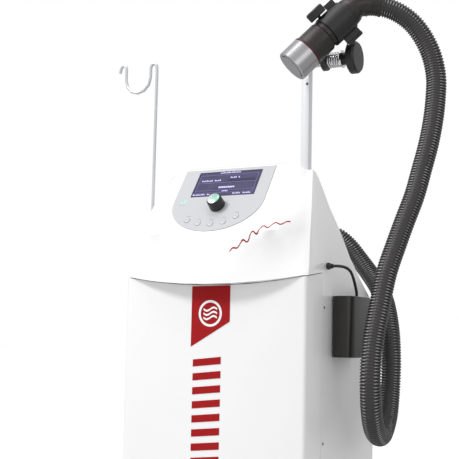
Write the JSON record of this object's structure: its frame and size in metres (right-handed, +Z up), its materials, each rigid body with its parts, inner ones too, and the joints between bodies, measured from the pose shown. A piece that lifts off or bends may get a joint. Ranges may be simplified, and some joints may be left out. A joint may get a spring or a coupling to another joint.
{
  "type": "ultrasound therapy device",
  "caption": "white wheeled treatment cabinet with a hooded control panel, a rod with a hook, and a black handpiece clamped on a short pole and fed by a thick ribbed hose",
  "frame": {"origin": "centre of the object's bounding box at floor level, the free hose left out", "axes": "+X to the object's right as seen from the operator who faces the panel, +Y from front to rear, +Z up"},
  "size_m": [0.6279, 0.408, 1.2918],
  "materials": {
    "hood": "glossy white moulding",
    "cabinet": "white powder coat, satin",
    "overlay": "light grey membrane",
    "screen": "dark blue-violet display behind a clear window",
    "module": "plain grey sheet",
    "castor_metal": "zinc plated",
    "bright_metal": "bright",
    "tyre": "dark grey, matte",
    "black_plastic": "black, satin",
    "knob_cap": "silver with a green tint",
    "board": "green board",
    "tank": "milky",
    "aluminium": "turned, bright",
    "light_metal": "light grey-white",
    "grip": "black, satin",
    "hose": "dark grey-brown, corrugated"
  },
  "bodies": {
    "trolley": {"base_tray": "cabinet", "front_panel": "cabinet", "left_side_panel": "cabinet", "right_side_panel": "cabinet", "rear_panel": "cabinet", "head_cover": "hood", "control_overlay": "overlay", "display_window": "screen", "display_module": "module", "power_supply": "module", "generator_board": "board", "coolant_tank": "tank", "coolant_pump": "black_plastic", "radiator": "aluminium", "fan_housing": "black_plastic", "mains_inlet": "black_plastic", "hose_gland": "black_plastic", "hook_rod": "light_metal", "hook_socket": "light_metal", "pole": "light_metal", "pole_foot": "light_metal", "pivot_bolt": "bright_metal", "accessory_holder": "black_plastic", "holder_lead": "hose", "lead_gland": "black_plastic", "hose": "hose", "tilt_spring": "bright_metal"},
    "castor_fl": {"castor_fl_fork": "castor_metal", "castor_fl_axle": "bright_metal"},
    "wheel_fl": {"castor_fl_wheel": "tyre"},
    "brake_fl": {"brake_pedal_fl": "tyre"},
    "castor_fr": {"castor_fr_fork": "castor_metal", "castor_fr_axle": "bright_metal"},
    "wheel_fr": {"castor_fr_wheel": "tyre"},
    "brake_fr": {"brake_pedal_fr": "tyre"},
    "castor_rl": {"castor_rl_fork": "castor_metal", "castor_rl_axle": "bright_metal"},
    "wheel_rl": {"castor_rl_wheel": "tyre"},
    "castor_rr": {"castor_rr_fork": "castor_metal", "castor_rr_axle": "bright_metal"},
    "wheel_rr": {"castor_rr_wheel": "tyre"},
    "dial_push": {"encoder_shaft": "bright_metal"},
    "dial": {"encoder_knob": "black_plastic", "knob_cap": "knob_cap"},
    "key_1": {"menu_key_1": "overlay"},
    "key_2": {"menu_key_2": "overlay"},
    "key_3": {"menu_key_3": "overlay"},
    "key_4": {"menu_key_4": "overlay"},
    "key_5": {"menu_key_5": "overlay"},
    "rocker": {"power_rocker": "black_plastic"},
    "fan": {"fan_rotor": "black_plastic"},
    "washer": {"spring_washer": "bright_metal"},
    "tilt_wheel": {"hand_wheel": "black_plastic"},
    "cradle": {"cradle_shell": "black_plastic", "strap_pin": "bright_metal"},
    "strap": {"cradle_strap": "black_plastic"},
    "clamp_screw": {"cradle_knob": "black_plastic"},
    "handpiece": {"handpiece_body": "grip", "treatment_head": "aluminium", "transducer_disc": "aluminium"}
  },
  "joints": [
    {"name": "castor_swivel_fl", "type": "hinge", "parent": "trolley", "child": "castor_fl", "pos_m": [-0.1308, -0.1685, 0.0375], "axis": [0, 0, 1], "continuous": true},
    {"name": "castor_spin_fl", "type": "hinge", "parent": "castor_fl", "child": "wheel_fl", "pos_m": [-0.1308, -0.1435, 0.0375], "axis": [1, 0, 0], "continuous": true},
    {"name": "brake_press_fl", "type": "hinge", "parent": "castor_fl", "child": "brake_fl", "pos_m": [-0.1308, -0.147, 0.0865], "axis": [-1, 0, 0], "range_deg": [0, 10]},
    {"name": "castor_swivel_fr", "type": "hinge", "parent": "trolley", "child": "castor_fr", "pos_m": [0.1792, -0.1685, 0.0375], "axis": [0, 0, 1], "continuous": true},
    {"name": "castor_spin_fr", "type": "hinge", "parent": "castor_fr", "child": "wheel_fr", "pos_m": [0.1792, -0.1435, 0.0375], "axis": [1, 0, 0], "continuous": true},
    {"name": "brake_press_fr", "type": "hinge", "parent": "castor_fr", "child": "brake_fr", "pos_m": [0.1792, -0.147, 0.0865], "axis": [-1, 0, 0], "range_deg": [0, 10]},
    {"name": "castor_swivel_rl", "type": "hinge", "parent": "trolley", "child": "castor_rl", "pos_m": [-0.1308, 0.1415, 0.0375], "axis": [0, 0, 1], "continuous": true},
    {"name": "castor_spin_rl", "type": "hinge", "parent": "castor_rl", "child": "wheel_rl", "pos_m": [-0.1308, 0.1665, 0.0375], "axis": [1, 0, 0], "continuous": true},
    {"name": "castor_swivel_rr", "type": "hinge", "parent": "trolley", "child": "castor_rr", "pos_m": [0.1792, 0.1415, 0.0375], "axis": [0, 0, 1], "continuous": true},
    {"name": "castor_spin_rr", "type": "hinge", "parent": "castor_rr", "child": "wheel_rr", "pos_m": [0.1792, 0.1665, 0.0375], "axis": [1, 0, 0], "continuous": true},
    {"name": "dial_press", "type": "slide", "parent": "trolley", "child": "dial_push", "axis": [0, 0.8219, -0.5696], "range_m": [0, 0.0006], "stiffness_N_per_m": 600},
    {"name": "dial_turn", "type": "hinge", "parent": "dial_push", "child": "dial", "pos_m": [0.0242, -0.16853, 0.90726], "axis": [0, -0.8219, 0.5696], "continuous": true},
    {"name": "key_press_1", "type": "slide", "parent": "trolley", "child": "key_1", "axis": [0, 0.8219, -0.5696], "range_m": [0, 0.0004], "stiffness_N_per_m": 500},
    {"name": "key_press_2", "type": "slide", "parent": "trolley", "child": "key_2", "axis": [0, 0.8219, -0.5696], "range_m": [0, 0.0004], "stiffness_N_per_m": 500},
    {"name": "key_press_3", "type": "slide", "parent": "trolley", "child": "key_3", "axis": [0, 0.8219, -0.5696], "range_m": [0, 0.0004], "stiffness_N_per_m": 500},
    {"name": "key_press_4", "type": "slide", "parent": "trolley", "child": "key_4", "axis": [0, 0.8219, -0.5696], "range_m": [0, 0.0004], "stiffness_N_per_m": 500},
    {"name": "key_press_5", "type": "slide", "parent": "trolley", "child": "key_5", "axis": [0, 0.8219, -0.5696], "range_m": [0, 0.0004], "stiffness_N_per_m": 500},
    {"name": "power_rocker_tilt", "type": "hinge", "parent": "trolley", "child": "rocker", "pos_m": [0.0632, 0.1385, 0.187], "axis": [1, 0, 0], "range_deg": [0, 16]},
    {"name": "fan_spin", "type": "hinge", "parent": "trolley", "child": "fan", "pos_m": [0.0242, 0.1225, 0.52], "axis": [0, 1, 0], "continuous": true},
    {"name": "washer_slide", "type": "slide", "parent": "trolley", "child": "washer", "axis": [-1, 0, 0], "range_m": [0, 0.003], "deforming": ["tilt_spring"]},
    {"name": "tilt_wheel_turn", "type": "hinge", "parent": "washer", "child": "tilt_wheel", "pos_m": [0.2092, -0.0115, 1.1828], "axis": [1, 0, 0], "range_deg": [0, 720]},
    {"name": "cradle_tilt", "type": "hinge", "parent": "trolley", "child": "cradle", "pos_m": [0.1742, -0.0115, 1.1828], "axis": [1, 0, 0], "range_deg": [-30, 30], "deforming": ["hose"]},
    {"name": "strap_open", "type": "hinge", "parent": "cradle", "child": "strap", "pos_m": [0.22724, -0.03975, 1.20896], "axis": [0.595, 0.365, 0.716], "range_deg": [0, 80]},
    {"name": "clamp_screw_turn", "type": "hinge", "parent": "cradle", "child": "clamp_screw", "pos_m": [0.16854, -0.08823, 1.25172], "axis": [-0.5398, -0.4786, 0.6925], "continuous": true},
    {"name": "handpiece_slide", "type": "slide", "parent": "cradle", "child": "handpiece", "axis": [-0.595, -0.365, -0.716], "range_m": [0, 0.02], "deforming": ["hose"]}
  ],
  "couplings": [
    {"joint": "washer_slide", "follows": "tilt_wheel_turn", "m_per_rad": 0.00023873}
  ]
}
